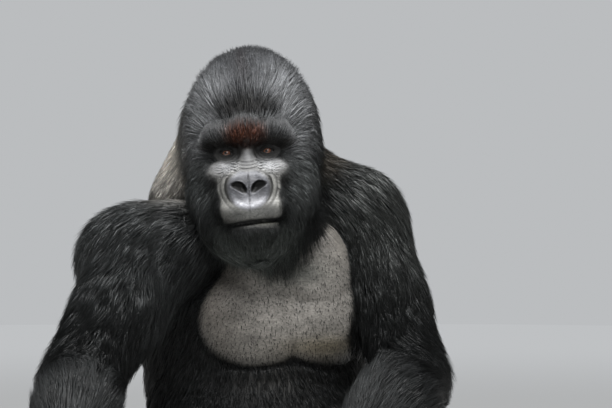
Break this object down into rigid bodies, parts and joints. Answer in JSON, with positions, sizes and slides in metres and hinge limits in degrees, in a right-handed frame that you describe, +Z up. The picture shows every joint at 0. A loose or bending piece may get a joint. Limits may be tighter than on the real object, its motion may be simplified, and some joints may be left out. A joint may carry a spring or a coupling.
{
  "type": "gorilla figure",
  "caption": "Life-size seated silverback mountain gorilla as a still museum figure, leaning on its knuckles and facing forward.",
  "frame": {"origin": "on the floor, at the middle of the flat under the rump", "axes": "+Z up, the face looks along -Y, +X towards the animal's left"},
  "size_m": [0.927, 0.8498, 0.9985],
  "materials": {
    "black_fur": "matt fur",
    "silver_fur": "matt fur",
    "bare_skin": "satin skin",
    "eye": "wet gloss"
  },
  "bodies": {
    "root": {"head": "black_fur", "neck": "silver_fur", "chest": "black_fur", "abdomen": "black_fur", "ear_left": "bare_skin", "ear_right": "bare_skin", "eye_left": "eye", "eye_right": "eye", "upper_arm_left": "black_fur", "upper_arm_right": "black_fur", "forearm_left": "black_fur", "forearm_right": "black_fur", "hand_left": "bare_skin", "hand_right": "bare_skin", "thigh_left": "black_fur", "thigh_right": "black_fur", "shank_left": "black_fur", "shank_right": "black_fur", "foot_left": "bare_skin", "foot_right": "bare_skin"}
  },
  "joints": []
}
